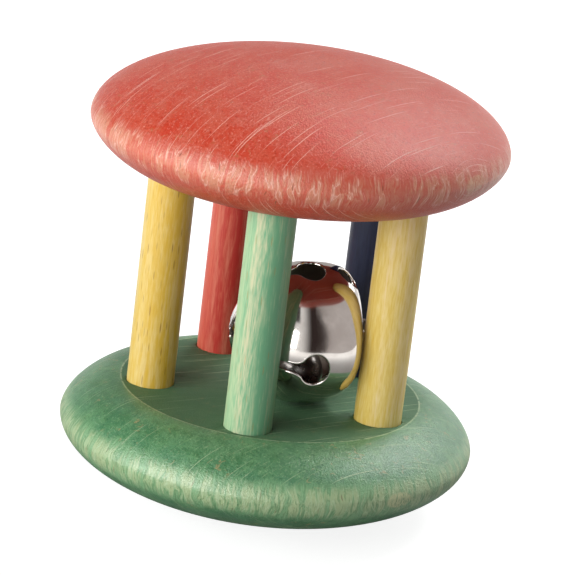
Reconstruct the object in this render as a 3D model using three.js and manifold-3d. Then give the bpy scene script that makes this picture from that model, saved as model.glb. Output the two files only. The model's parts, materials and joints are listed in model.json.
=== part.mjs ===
// Wooden rattle: two turned discs, five dowels glued between them and a jingle bell loose in the cage.
// Millimetres, +Z up along the discs' common axis, origin in the middle of the face that it stands on.
import * as THREE from "three";
import { mergeVertices } from "three/addons/utils/BufferGeometryUtils.js";
import Module from "manifold-3d";

const wasm = await Module();
wasm.setup();

// Turned discs: a flat inner face, a rounded rim and a domed outer face with a small flat to stand on
const discRadius = 35;
const innerFaceRadius = 25.4;
const rimHeight = 7;
const domeHeight = 12.2;
const standFaceRadius = 8;
const rimFullness = 1.6;
const domeFullness = 1.95;
const discSides = 64;
const rimSteps = 6;
const domeSteps = 7;

// Cage of dowels
const clearHeight = 38.3;
const dowelRadius = 4;
const dowelCircleRadius = 20.5;
const dowelChamfer = 0.6;
const dowelSides = 20;
const socketDepth = 10;
const socketClearance = 0.25;
const socketEndClearance = 0.3;
const firstDowelAngle = -90;
const dowelColours = [
  ["dowel_front_green", 0x8fb585],
  ["dowel_right_yellow", 0xdcbf5a],
  ["dowel_back_blue", 0x28344a],
  ["dowel_back_red", 0xb8413a],
  ["dowel_left_yellow", 0xd3b450],
];

// Bell shell: pressed sheet, a rounded square about its own axis with its corners at the slots
const bellRadius = 11.65;
const bellSectionFullness = 2.4;
const bellClosedLength = 9.6;
const bellOpenLength = 11.6;
const bellClosedFullness = 3.8;
const bellOpenFullness = 1.75;
const bellSheet = 0.5;
const bellSides = 36;
const bellSteps = 7;
const bellClearance = 0.2;
const bellAxisTurn = 114.4;
const bellRollAngle = 12.4;
const bellContactTurns = { dowel_front_green: -19.5, dowel_right_yellow: 34.2 };

// Slots between the petals, each ending in an oval hole, and the two holes in the closed shoulder
const slotTipWidth = 1.2;
const slotNeckWidth = 2;
const slotNeckPlace = -3.6;
const slotHoleWidth = 6.1;
const slotHoleLength = 5.2;
const slotHolePlace = 0.3;
const slotHoleMouthAngle = 58;
const shoulderHoleRadius = 2.5;
const shoulderHoleLean = 32;
const shoulderHoleLand = 2;
const holeSides = 16;

// Eyelet: a strap bent to a loop, with its ends through the closed end and turned out inside
const eyeletWidth = 3.4;
const eyeletSheet = 0.5;
const eyeletBore = 1.8;
const eyeletStand = 1.2;
const eyeletFootReach = 1.7;
const eyeletClearance = 0.3;

// Pellet: the loose ball, too large for the slots' holes
const pelletRadius = 4;
const pelletClearance = 0.3;
const pelletPlace = 1;
const pelletSides = 20;
const pelletRings = 12;

// How far a cutting tool runs past the surface that it cuts
const cutOverrun = 2;

const discThickness = rimHeight + domeRise(standFaceRadius);
const lowerFace = discThickness;
const upperFace = lowerFace + clearHeight;
const overallHeight = upperFace + discThickness;
const dowelReach = socketDepth - socketEndClearance;
const dowelLength = clearHeight + 2 * dowelReach;
const bellCornerRadius = bellRadius * sectionFactor(0);
const bellAxisAngle = firstDowelAngle + bellAxisTurn;
const radians = THREE.MathUtils.degToRad;

// Height of the dome over the rim's widest circle, at a radius from the axis
function domeRise(radius) {
  return domeHeight * (1 - (radius / discRadius) ** domeFullness) ** (1 / domeFullness);
}

// Quarter of a rounded outline from (across, 0) to (0, along): fullness 2 is an ellipse, more is squarer
function quarterOutline(across, along, fullness, steps) {
  return Array.from({ length: steps + 1 }, (_, i) => {
    const turn = ((i / steps) * Math.PI) / 2;
    const x = i === steps ? 0 : across * Math.cos(turn) ** (2 / fullness);
    return new THREE.Vector2(x, along * Math.sin(turn) ** (2 / fullness));
  });
}

// Reach of the bell's rounded square against that of a circle, at an angle from a slot
function sectionFactor(turn) {
  const across = Math.abs(Math.cos(turn + Math.PI / 4)) ** bellSectionFullness;
  const along = Math.abs(Math.sin(turn + Math.PI / 4)) ** bellSectionFullness;
  return (across + along) ** (-1 / bellSectionFullness);
}

// Closed mesh as a solid, with shared vertices merged and the slivers at its poles dropped
function toSolid(geometry) {
  const bare = geometry.clone();
  bare.deleteAttribute("normal");
  bare.deleteAttribute("uv");
  const merged = mergeVertices(bare, 1e-5);
  const corners = merged.index.array;
  const kept = [];
  for (let i = 0; i < corners.length; i += 3) {
    const [a, b, c] = corners.slice(i, i + 3);
    if (a !== b && b !== c && c !== a) kept.push(a, b, c);
  }
  return new wasm.Manifold(
    new wasm.Mesh({
      numProp: 3,
      vertProperties: new Float32Array(merged.attributes.position.array),
      triVerts: new Uint32Array(kept),
    }),
  );
}

function toMesh(name, solid, finish) {
  const { vertProperties, triVerts } = solid.getMesh();
  const indexed = new THREE.BufferGeometry();
  indexed.setAttribute("position", new THREE.BufferAttribute(vertProperties, 3));
  indexed.setIndex(new THREE.BufferAttribute(triVerts, 1));
  const geometry = indexed.toNonIndexed();
  geometry.computeVertexNormals();
  const mesh = new THREE.Mesh(geometry, new THREE.MeshStandardMaterial(finish));
  mesh.name = name;
  return mesh;
}

// Outline turned about the Z axis: its points climb from the axis back to the axis
function turning(points, sides) {
  return new THREE.LatheGeometry(points, sides).rotateX(Math.PI / 2);
}

function uprightCylinder(radius, low, high, sides, x = 0, y = 0) {
  const cylinder = new THREE.CylinderGeometry(radius, radius, high - low, sides);
  return toSolid(cylinder.rotateX(Math.PI / 2).translate(x, y, (low + high) / 2));
}

function stainedWood(color) {
  return { color, roughness: 0.55, metalness: 0 };
}

const platedSteel = { color: 0xc8c4c0, roughness: 0.12, metalness: 1 };
const ballSteel = { color: 0x9a9690, roughness: 0.3, metalness: 1 };

function dowelAngle(index) {
  return firstDowelAngle + (360 / dowelColours.length) * index;
}

function planDirection(angle) {
  return new THREE.Vector2(Math.cos(radians(angle)), Math.sin(radians(angle)));
}

function dowelCentre(index) {
  return planDirection(dowelAngle(index)).multiplyScalar(dowelCircleRadius);
}

// Disc outline from the middle of its standing face to the middle of its inner face
function discOutline() {
  const widest = domeRise(standFaceRadius);
  const dome = Array.from({ length: domeSteps }, (_, i) => {
    const start = Math.acos((standFaceRadius / discRadius) ** (domeFullness / 2));
    const turn = start * (1 - i / domeSteps);
    const radius = discRadius * Math.cos(turn) ** (2 / domeFullness);
    return new THREE.Vector2(radius, widest - domeHeight * Math.sin(turn) ** (2 / domeFullness));
  });
  const rim = quarterOutline(discRadius - innerFaceRadius, rimHeight, rimFullness, rimSteps);
  rim.forEach((point) => point.add(new THREE.Vector2(innerFaceRadius, widest)));
  return [new THREE.Vector2(0, 0), ...dome, ...rim, new THREE.Vector2(0, discThickness)];
}

function disc(name, color, isUpper) {
  const outline = discOutline();
  if (isUpper) {
    outline.forEach((point) => point.setY(overallHeight - point.y));
    outline.reverse();
  }
  const low = isUpper ? upperFace - cutOverrun : lowerFace - socketDepth;
  const high = isUpper ? upperFace + socketDepth : lowerFace + cutOverrun;
  const socketRadius = dowelRadius + socketClearance;
  const bored = dowelColours.reduce((solid, _, index) => {
    const { x, y } = dowelCentre(index);
    return solid.subtract(uprightCylinder(socketRadius, low, high, dowelSides, x, y));
  }, toSolid(turning(outline, discSides)));
  return toMesh(name, bored, stainedWood(color));
}

function dowel(name, color, index) {
  const outline = [
    [0, 0],
    [dowelRadius - dowelChamfer, 0],
    [dowelRadius, dowelChamfer],
    [dowelRadius, dowelLength - dowelChamfer],
    [dowelRadius - dowelChamfer, dowelLength],
    [0, dowelLength],
  ].map(([x, y]) => new THREE.Vector2(x, y));
  const mesh = toMesh(name, toSolid(turning(outline, dowelSides)), stainedWood(color));
  const { x, y } = dowelCentre(index);
  mesh.position.set(x, y, lowerFace - dowelReach);
  return mesh;
}

// Bell outline, inset from the outer surface, with the bell's axis upright and its closed end on top
function bellOutline(inset) {
  const across = bellRadius - inset;
  const open = quarterOutline(across, bellOpenLength - inset, bellOpenFullness, bellSteps);
  const closed = quarterOutline(across, bellClosedLength - inset, bellClosedFullness, bellSteps);
  open.forEach((point) => point.setY(-point.y));
  return [...open.reverse(), ...closed.slice(1)];
}

// The bell's outer surface, or an inner one, filled
function bellBody(inset) {
  const body = turning(bellOutline(inset), bellSides);
  const points = body.attributes.position;
  for (let i = 0; i < points.count; i += 1) {
    const factor = sectionFactor(Math.atan2(points.getY(i), points.getX(i)));
    points.setXY(i, points.getX(i) * factor, points.getY(i) * factor);
  }
  return toSolid(body);
}

// Keyhole of one slot, narrow at the petals' tips, run through the bell along Y
function slotCutter() {
  const mouth = radians(slotHoleMouthAngle);
  const mouthX = (slotHoleWidth / 2) * Math.cos(mouth);
  const mouthY = slotHolePlace - (slotHoleLength / 2) * Math.sin(mouth);
  const tipY = -bellOpenLength - cutOverrun;
  const flareY = mouthY - mouthX + slotNeckWidth / 2;
  const outline = new THREE.Shape();
  outline.moveTo(slotTipWidth / 2, tipY);
  outline.lineTo(slotNeckWidth / 2, slotNeckPlace);
  outline.quadraticCurveTo(slotNeckWidth / 2, flareY, mouthX, mouthY);
  outline.absellipse(0, slotHolePlace, slotHoleWidth / 2, slotHoleLength / 2, -mouth, Math.PI + mouth);
  outline.quadraticCurveTo(-slotNeckWidth / 2, flareY, -slotNeckWidth / 2, slotNeckPlace);
  outline.lineTo(-slotTipWidth / 2, tipY);
  const through = 2 * (bellCornerRadius + cutOverrun);
  const shape = new THREE.ExtrudeGeometry(outline, {
    depth: through,
    bevelEnabled: false,
    curveSegments: holeSides / 2,
  });
  return shape.translate(0, 0, -through / 2).rotateX(Math.PI / 2);
}

// The shoulder's two holes lie on one side each of the eyelet, a strip of metal above a slot's hole
function shoulderHoleCutter(side) {
  const lean = radians(shoulderHoleLean);
  const low = slotHolePlace + slotHoleLength / 2 + shoulderHoleLand;
  const lowRadius = closedEndRadius(low);
  const cutter = new THREE.CylinderGeometry(shoulderHoleRadius, shoulderHoleRadius, lowRadius, holeSides);
  cutter.translate(0, cutOverrun - lowRadius / 2, 0);
  cutter.rotateZ((-side * Math.PI) / 2).rotateY(-side * lean);
  const middleX = lowRadius - shoulderHoleRadius * Math.sin(lean);
  return toSolid(cutter.translate(side * middleX, 0, low + shoulderHoleRadius * Math.cos(lean)));
}

const eyeletOuter = eyeletBore + eyeletSheet;
const eyeletFoot = eyeletOuter + eyeletFootReach;

// Radius of the bell's corners at a height over its middle, in the closed end
function closedEndRadius(height) {
  const share = (height / bellClosedLength) ** bellClosedFullness;
  return bellCornerRadius * (1 - share) ** (1 / bellClosedFullness);
}

// Least height of the bell's inner surface over its middle, at a radius from the axis, in the closed end
function closedEndHeight(radius) {
  const share = (radius / (bellRadius - bellSheet)) ** bellClosedFullness;
  return (bellClosedLength - bellSheet) * (1 - share) ** (1 / bellClosedFullness);
}

function bellShell() {
  const slotAlongY = slotCutter();
  const slotAlongX = slotAlongY.clone().rotateZ(Math.PI / 2);
  const eyeletHole = new THREE.BoxGeometry(
    eyeletWidth + 2 * eyeletClearance,
    2 * (eyeletOuter + eyeletClearance),
    2 * cutOverrun,
  );
  const pressed = bellBody(0)
    .subtract(bellBody(bellSheet))
    .subtract(toSolid(slotAlongY))
    .subtract(toSolid(slotAlongX))
    .subtract(shoulderHoleCutter(1))
    .subtract(shoulderHoleCutter(-1))
    .subtract(toSolid(eyeletHole.translate(0, 0, bellClosedLength)));
  return toMesh("bell_shell", pressed, platedSteel);
}

function bellEyelet() {
  const footTop = closedEndHeight(Math.hypot(eyeletFoot, eyeletWidth / 2)) - eyeletClearance;
  const footBottom = footTop - eyeletSheet;
  const bend = bellClosedLength + eyeletStand;
  const outline = new THREE.Shape();
  outline.moveTo(eyeletFoot, footBottom);
  outline.lineTo(eyeletFoot, footTop);
  outline.lineTo(eyeletOuter, footTop);
  outline.lineTo(eyeletOuter, bend);
  outline.absarc(0, bend, eyeletOuter, 0, Math.PI, false);
  outline.lineTo(-eyeletOuter, footTop);
  outline.lineTo(-eyeletFoot, footTop);
  outline.lineTo(-eyeletFoot, footBottom);
  outline.lineTo(-eyeletBore, footBottom);
  outline.lineTo(-eyeletBore, bend);
  outline.absarc(0, bend, eyeletBore, Math.PI, 0, true);
  outline.lineTo(eyeletBore, footBottom);
  const strap = new THREE.ExtrudeGeometry(outline, {
    depth: eyeletWidth,
    bevelEnabled: false,
    curveSegments: holeSides / 2,
  });
  strap.translate(0, 0, -eyeletWidth / 2).rotateX(Math.PI / 2).rotateZ(Math.PI / 2);
  return toMesh("bell_eyelet", toSolid(strap), platedSteel);
}

function bellPellet() {
  const ball = new THREE.SphereGeometry(pelletRadius, pelletSides, pelletRings);
  const mesh = toMesh("bell_pellet", toSolid(ball), ballSteel);
  mesh.position.set(bellRadius - bellSheet - pelletRadius - pelletClearance, 0, pelletPlace);
  return mesh;
}

// How far the rolling bell reaches along a line that leans from its axis
function bellReach(lean) {
  const isClosed = Math.cos(lean) > 0;
  const fullness = isClosed ? bellClosedFullness : bellOpenFullness;
  const power = fullness / (fullness - 1);
  const along = Math.abs((isClosed ? bellClosedLength : bellOpenLength) * Math.cos(lean)) ** power;
  const across = Math.abs(bellCornerRadius * Math.sin(lean)) ** power;
  return (along + across) ** (1 / power);
}

// Middle of the bell in plan: it leans on two dowels, on each along a line turned from that dowel's own
function bellMiddle() {
  const [[frontLine, frontReach], [rightLine, rightReach]] = Object.entries(bellContactTurns).map(
    ([name, turn]) => {
      const index = dowelColours.findIndex(([dowelName]) => dowelName === name);
      const angle = dowelAngle(index) + turn;
      const line = planDirection(angle);
      const reach = bellReach(radians(angle - bellAxisAngle)) + bellClearance + dowelRadius;
      return [line, dowelCentre(index).dot(line) - reach];
    },
  );
  const spread = frontLine.cross(rightLine);
  return new THREE.Vector2(
    (frontReach * rightLine.y - rightReach * frontLine.y) / spread,
    (rightReach * frontLine.x - frontReach * rightLine.x) / spread,
  );
}

// The bell lies on its side on the lower disc between two dowels, with its closed end to the right
function bell() {
  const group = new THREE.Group();
  const { x, y } = bellMiddle();
  group.position.set(x, y, lowerFace + bellClearance + bellCornerRadius);
  group.rotation.set(0, Math.PI / 2, radians(bellAxisAngle), "ZYX");
  const pressings = new THREE.Group();
  pressings.rotation.z = radians(bellRollAngle);
  pressings.add(bellShell(), bellEyelet());
  group.add(pressings, bellPellet());
  return group;
}

const rattle = new THREE.Group();
rattle.name = "rattle";
rattle.add(disc("lower_disc", 0x5f9068, false));
rattle.add(disc("upper_disc", 0xc8533f, true));
dowelColours.forEach(([name, color], index) => rattle.add(dowel(name, color, index)));
rattle.add(bell());

export default rattle;
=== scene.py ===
import functools
import json
import math
from collections import namedtuple

import bmesh
import bpy
from bpy.props import FloatProperty, FloatVectorProperty, PointerProperty
from mathutils import Matrix, Vector


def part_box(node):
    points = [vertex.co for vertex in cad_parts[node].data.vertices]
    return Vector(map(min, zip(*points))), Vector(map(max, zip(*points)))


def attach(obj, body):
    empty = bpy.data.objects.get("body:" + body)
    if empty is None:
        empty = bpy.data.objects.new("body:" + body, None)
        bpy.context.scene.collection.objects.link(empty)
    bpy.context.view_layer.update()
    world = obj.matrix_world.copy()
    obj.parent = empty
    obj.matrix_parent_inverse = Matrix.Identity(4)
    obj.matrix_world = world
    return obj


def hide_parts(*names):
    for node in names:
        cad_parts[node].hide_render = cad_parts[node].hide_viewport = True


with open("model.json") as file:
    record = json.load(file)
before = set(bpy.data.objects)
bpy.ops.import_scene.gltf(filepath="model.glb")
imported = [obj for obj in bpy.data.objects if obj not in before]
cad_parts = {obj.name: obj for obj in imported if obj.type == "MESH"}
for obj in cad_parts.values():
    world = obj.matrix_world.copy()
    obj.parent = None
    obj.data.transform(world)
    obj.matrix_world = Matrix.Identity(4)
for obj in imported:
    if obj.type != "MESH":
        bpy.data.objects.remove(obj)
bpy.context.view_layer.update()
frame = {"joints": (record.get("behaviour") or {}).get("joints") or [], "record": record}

bl_info = {
    "name": "Wooden Rattle",
    "version": (1, 0, 0),
    "blender": (4, 5, 0),
    "location": "3D View > Sidebar > Rattle",
    "description": "Models a stained wooden rattle with a jingle bell in its cage, and a studio for it",
    "category": "Object",
}

MM = 0.001
PER_METRE = 1000.0
MERGE_DISTANCE = 0.002 * MM

# Places that the frame holds
LOWER_DISC_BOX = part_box("lower_disc")
UPPER_DISC_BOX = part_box("upper_disc")
DISC_RADIUS = LOWER_DISC_BOX[1].x
LOWER_FACE = LOWER_DISC_BOX[1].z
UPPER_FACE = UPPER_DISC_BOX[0].z
OVERALL_HEIGHT = UPPER_DISC_BOX[1].z
CAGE_NODES = frame["record"]["behaviour"]["bodies"]["cage"]
DOWEL_BOXES = {node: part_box(node) for node in CAGE_NODES if node.startswith("dowel")}
ROLL_JOINT = next(joint for joint in frame["joints"] if joint["name"] == "bell_roll")
PELLET_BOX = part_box("bell_pellet")

# Fineness of the turned surfaces
DISC_STEPS = 192
DOME_STEPS = 36
RIM_STEPS = 28
DOWEL_STEPS = 72
HOLE_STEPS = 64
BELL_STEPS = 192
BELL_ROWS = 44
BEND_STEPS = 16
TIP_STEPS = 60
FLOOR_STEPS = 128
SHARP_ANGLE = math.radians(35)
STRAP_CORNER = math.radians(60)

# Turns of the bell's forms and of its pellet
QUARTER_TURN = Matrix.Rotation(math.pi / 2, 4, "Z")
PELLET_LEAN = Matrix.Rotation(math.radians(50), 4, "X") @ Matrix.Rotation(math.radians(20), 4, "Y")

# Floor, and how far it lies under the rattle
FLOOR_RADIUS = 2.5
FLOOR_DROP = 0.1 * MM

# How far a cutter runs past the surface that it opens
OVERRUN = 2 * MM
# Times that a stretch is halved to find where it crosses a surface
HALVINGS = 40
# Radius of the rounded lips of the bell's holes, as a share of its sheet
LIP_SHARE = 0.54
# Depth in the sheet, as a share of it, past which a face counts as the bell's inside
INSIDE_SHARE = 0.75

# Sides of the dowels, in degrees from +X: the shaded side, where the stain is painted deeper as painted
# shade, and the lit side, where a pale band runs that is partly bare wood and partly painted light
SHADED_SIDE = -20.0
PALE_BAND_SIDE = -106.0
# How far the grain is shifted from one dowel to the next, in millimetres
GRAIN_SHIFT = Vector((11.0, 7.0, 23.0))
# What is left of a colour in the pores and under the painted shade of the inner faces, and in the dark
# lines of the rims
SHADE = 0.6
LINE_SHADE = 0.5

WHITE = (1.0, 1.0, 1.0)
SPECK = (0.02, 0.016, 0.012)
# Times a vector, leaves its X and Y
FLAT = (1.0, 1.0, 0.0)

# Shades of the stains, and how much each mark of a dowel shows
DiscStain = namedtuple("DiscStain", "deep pale tinge rim cream ray scuff")
DowelStain = namedtuple("DowelStain", "deep pale bare")
Shares = namedtuple("Shares", "flecks bare side band")
# Shares.side is how much darker a dowel is painted on its shaded side, as painted shade; Shares.band is the
# pale band on its lit side, partly painted light
DOWEL_FINISHES = {
    "dowel_front_green": ("leaf", Shares(flecks=0.4, bare=0.4, side=0.06, band=0.65)),
    "dowel_right_yellow": ("straw", Shares(flecks=0.05, bare=0.55, side=0.0, band=0.0)),
    "dowel_back_blue": ("blue", Shares(flecks=0.0, bare=0.5, side=0.0, band=0.0)),
    "dowel_back_red": ("red", Shares(flecks=0.1, bare=0.5, side=0.07, band=0.0)),
    "dowel_left_yellow": ("yellow", Shares(flecks=0.9, bare=0.4, side=0.035, band=0.0)),
}


def length(name, description, millimetres):
    """A length property, given in millimetres and kept in metres."""
    return FloatProperty(
        name=name, description=description, default=millimetres * MM, unit="LENGTH", precision=5
    )


def angle(name, description, degrees):
    """An angle property, given in degrees and kept in radians."""
    return FloatProperty(
        name=name, description=description, default=math.radians(degrees), subtype="ANGLE"
    )


def number(name, description, default):
    return FloatProperty(name=name, description=description, default=default)


def colour(name, description, red, green, blue):
    return FloatVectorProperty(
        name=name, description=description, default=(red, green, blue), min=0.0, max=1.0, subtype="COLOR"
    )


class RattleSizes(bpy.types.PropertyGroup):
    """Sizes of the turned wood and of the pressed bell"""

    inner_face_radius: length("Inner face radius", "Radius of the face that the dowels stand on", 25.4)
    rim_height: length("Rim height", "From the disc's widest circle to its inner face", 7)
    dome_height: length("Dome height", "From the disc's widest circle to the dome's full height", 12.2)
    stand_radius: length("Stand radius", "Radius of the small flat that the disc stands on", 8)
    rim_fullness: number("Rim fullness", "2 is an ellipse, less is nearer to a straight chamfer", 1.6)
    dome_fullness: number("Dome fullness", "2 is an ellipse, less is nearer to a cone", 1.95)
    dowel_chamfer: length("Dowel chamfer", "Broken edge at each end of a dowel", 0.6)
    socket_depth: length("Socket depth", "Depth of the blind hole that a dowel is glued into", 10)
    socket_gap: length("Socket gap", "Gap between a dowel and its hole", 0.1)
    socket_ease: length("Socket ease", "Rounding of the hole's mouth", 0.12)

    bell_radius: length("Bell radius", "Radius of the bell in the middle of a petal", 11.65)
    bell_section_fullness: number("Section fullness", "2 is a round bell, more is squarer", 2.4)
    bell_closed_length: length("Closed length", "From the bell's middle to its closed end", 9.6)
    bell_open_length: length("Open length", "From the bell's middle to the petals' tips", 11.6)
    bell_closed_fullness: number("Closed fullness", "Squareness of the closed end", 3.8)
    bell_open_fullness: number("Open fullness", "Squareness of the petals' end", 1.75)
    bell_sheet: length("Sheet", "Thickness of the pressed sheet", 0.5)
    bell_roll: angle("Roll", "How far the bell has rolled from an upright slot", 12.4)
    slot_tip_width: length("Slot tip width", "Width of a slot at the petals' tips", 1.2)
    slot_neck_width: length("Slot neck width", "Width of a slot before its hole", 2)
    slot_neck_place: length("Slot neck place", "Where a slot flares, from the bell's middle", -3.6)
    slot_hole_width: length("Hole width", "Size of a slot's hole round the bell", 6.1)
    slot_hole_length: length("Hole length", "Size of a slot's hole along the bell", 5.2)
    slot_hole_place: length("Hole place", "Middle of a slot's hole, from the bell's middle", 0.3)
    slot_mouth_angle: angle("Hole mouth", "Where the flare of the slot meets its hole", 58)
    shoulder_hole_radius: length("Shoulder hole radius", "Radius of the two holes in the closed end", 2.5)
    shoulder_hole_lean: angle("Shoulder hole lean", "How far these holes lean to the closed end", 32)
    shoulder_hole_land: length("Shoulder land", "Metal between a slot's hole and the shoulder's", 2)
    eyelet_width: length("Eyelet width", "Width of the eyelet's strap", 3.4)
    eyelet_sheet: length("Eyelet sheet", "Thickness of the eyelet's strap", 0.5)
    eyelet_bore: length("Eyelet bore", "Inner radius of the eyelet's loop", 1.8)
    eyelet_stand: length("Eyelet stand", "Straight stretch of the strap over the bell", 1.2)
    eyelet_foot: length("Eyelet foot", "How far the strap's ends turn out inside", 1.7)
    eyelet_gap: length("Eyelet gap", "Gap between the strap and the bell", 0.3)
    eyelet_ease: length("Eyelet ease", "Rounding of the strap's edges", 0.1)
    pellet_belt: length("Pellet belt", "Width of the flash line round the pellet", 0.5)
    pellet_belt_depth: length("Belt depth", "How far the flash line stands in", 0.05)


class RattleColours(bpy.types.PropertyGroup):
    """Stains of the wood and colours of the metal"""

    red_deep: colour("Red, deep", "Red stain where the end grain drank most", 0.6, 0.05, 0.022)
    red_pale: colour("Red, pale", "Red stain where the end grain drank less", 0.62, 0.115, 0.07)
    red_tinge: colour("Red, tinge", "Warmer patches of the red stain", 0.62, 0.07, 0.028)
    red_rim: colour("Red rim", "Red stain on the side grain of the rim", 0.62, 0.12, 0.075)
    red_cream: colour("Red rim, cream", "Bare streaks on the red disc's rim", 0.72, 0.37, 0.22)
    red_ray: colour("Red rays", "Pale rays in the red disc", 0.92, 0.54, 0.44)
    red_scuff: colour("Red scuffs", "Rubbed marks on the red disc", 0.5, 0.14, 0.06)
    green_deep: colour("Green, deep", "Green stain where the end grain drank most", 0.058, 0.21, 0.077)
    green_pale: colour("Green, pale", "Green stain where the end grain drank less", 0.13, 0.325, 0.14)
    green_tinge: colour("Green, tinge", "Bluer patches of the green stain", 0.07, 0.24, 0.125)
    green_rim: colour("Green rim", "Green stain on the side grain of the rim", 0.2, 0.41, 0.2)
    green_cream: colour("Green rim, cream", "Bare streaks on the green disc's rim", 0.52, 0.57, 0.31)
    green_ray: colour("Green rays", "Pale rays in the green disc", 0.46, 0.6, 0.36)
    green_scuff: colour("Green scuffs", "Rubbed marks on the green disc", 0.38, 0.32, 0.15)
    leaf_dowel_deep: colour("Green dowel", "Greener streaks of the green dowel", 0.14, 0.38, 0.2)
    leaf_dowel_pale: colour("Green dowel, pale", "Paler streaks of the green dowel", 0.42, 0.6, 0.34)
    leaf_dowel_bare: colour("Green dowel, bare", "Bare streaks of the green dowel", 0.68, 0.6, 0.38)
    yellow_dowel_deep: colour("Yellow dowel", "Deeper streaks of the left dowel", 0.66, 0.4, 0.03)
    yellow_dowel_pale: colour("Yellow dowel, pale", "Paler streaks of the left dowel", 0.76, 0.58, 0.18)
    yellow_dowel_bare: colour("Yellow dowel, bare", "Bare streaks of the left dowel", 0.76, 0.6, 0.32)
    # The right dowel's colours are paler than the left dowel's, partly as painted light on the right dowel
    straw_dowel_deep: colour("Straw dowel", "Deeper streaks of the right dowel", 0.76, 0.5, 0.055)
    straw_dowel_pale: colour("Straw dowel, pale", "Paler streaks of the right dowel", 0.93, 0.75, 0.28)
    straw_dowel_bare: colour("Straw dowel, bare", "Bare streaks of the right dowel", 0.88, 0.66, 0.42)
    blue_dowel_deep: colour("Blue dowel", "Deeper streaks of the blue dowel", 0.004, 0.008, 0.036)
    blue_dowel_pale: colour("Blue dowel, pale", "Paler streaks of the blue dowel", 0.01, 0.02, 0.075)
    blue_dowel_bare: colour("Blue dowel, bare", "Bare streaks of the blue dowel", 0.022, 0.03, 0.06)
    red_dowel_deep: colour("Red dowel", "Deeper streaks of the red dowel", 0.56, 0.03, 0.02)
    red_dowel_pale: colour("Red dowel, pale", "Paler streaks of the red dowel", 0.7, 0.12, 0.07)
    red_dowel_bare: colour("Red dowel, bare", "Bare streaks of the red dowel", 0.74, 0.28, 0.17)
    fleck: colour("Flecks", "Brown flecks along the dowels' grain", 0.38, 0.19, 0.025)
    nickel: colour("Nickel", "Bright plate on the bell", 0.68, 0.64, 0.6)
    inside: colour("Bell inside", "Dull plate inside the bell", 0.3, 0.24, 0.2)
    steel: colour("Steel", "Bare steel of the pellet", 0.45, 0.43, 0.41)


class RattleStudio(bpy.types.PropertyGroup):
    """Camera, lamps and floor"""

    camera_place: FloatVectorProperty(
        name="Camera place",
        description="Where the camera stands",
        default=(0.08642, -0.59811, 0.23396),
        subtype="XYZ",
        unit="LENGTH",
    )
    camera_turn: angle("Camera turn", "Camera's turn about the upright axis", 8.14)
    camera_tilt: angle("Camera tilt", "How far the camera looks down", 18.06)
    camera_roll: angle("Camera roll", "Camera's turn about its own axis", 6.92)
    camera_lens: number("Camera lens", "Focal length in millimetres", 237.24)
    window_power: number("Window power", "Watts of the lamp behind the rattle", 2.0)
    front_power: number("Front power", "Watts of the lamp at the front", 3.3)
    left_power: number("Left power", "Watts of the lamp at the left", 4.5)
    top_power: number("Top power", "Watts of the lamp above on the right", 3.6)
    edge_power: number("Edge power", "Watts of the lamp at the back on the right", 1.2)
    ambient: number("Ambient", "Light of the room on dull surfaces", 0.03)
    floor_lift: number("Floor lift", "White that the camera sees on the floor besides its light", 0.86)


# Forms that several pieces share


def quarter_outline(across, along, fullness, steps):
    """Quarter of a rounded outline from (across, 0) to (0, along)."""
    points = []
    for step in range(steps + 1):
        turn = step / steps * math.pi / 2
        x = across * max(math.cos(turn), 0.0) ** (2 / fullness) if step < steps else 0.0
        points.append((x, along * math.sin(turn) ** (2 / fullness)))
    return points


def spun(outline, steps):
    """Closed turning: an outline of (radius, height) points, spun about Z."""
    turning = bmesh.new()
    verts = [turning.verts.new((radius, 0.0, height)) for radius, height in outline]
    edges = [turning.edges.new(pair) for pair in zip(verts, verts[1:])]
    bmesh.ops.spin(
        turning,
        geom=verts + edges,
        cent=(0, 0, 0),
        axis=(0, 0, 1),
        angle=2 * math.pi,
        steps=steps,
        use_merge=True,
    )
    bmesh.ops.remove_doubles(turning, verts=turning.verts, dist=MERGE_DISTANCE)
    bmesh.ops.recalc_face_normals(turning, faces=turning.faces)
    return turning


def extruded(outline, depth):
    """Prism of a flat outline in X and Z, half its depth to each side along Y."""
    prism = bmesh.new()
    face = prism.faces.new([prism.verts.new((x, -depth / 2, z)) for x, z in outline])
    grown = bmesh.ops.extrude_face_region(prism, geom=[face])
    moved = [element for element in grown["geom"] if isinstance(element, bmesh.types.BMVert)]
    bmesh.ops.translate(prism, verts=moved, vec=(0, depth, 0))
    bmesh.ops.recalc_face_normals(prism, faces=prism.faces)
    return prism


def move(form, matrix):
    bmesh.ops.transform(form, matrix=matrix, verts=form.verts)


def rod(radius, depth, matrix):
    """Round rod along Z, placed by a matrix."""
    form = bmesh.new()
    bmesh.ops.create_cone(
        form, cap_ends=True, segments=HOLE_STEPS, radius1=radius, radius2=radius, depth=depth
    )
    move(form, matrix)
    return form


def soften(form, edges, offset):
    """Rounds edges of a form."""
    bmesh.ops.bevel(
        form,
        geom=edges,
        offset=offset,
        offset_type="OFFSET",
        affect="EDGES",
        segments=2,
        profile=0.5,
        material=-1,
    )


def new_object(name, form, materials=()):
    """Puts a form, which is used up, into the scene as an object."""
    mesh = bpy.data.meshes.new(name)
    form.to_mesh(mesh)
    form.free()
    for material in materials:
        mesh.materials.append(material)
    made = bpy.data.objects.new(name, mesh)
    bpy.context.scene.collection.objects.link(made)
    return made


def drop_scratch(scratch):
    data = scratch.data
    bpy.data.objects.remove(scratch)
    if isinstance(data, bpy.types.Mesh):
        bpy.data.meshes.remove(data)
    else:
        bpy.data.curves.remove(data)


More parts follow.
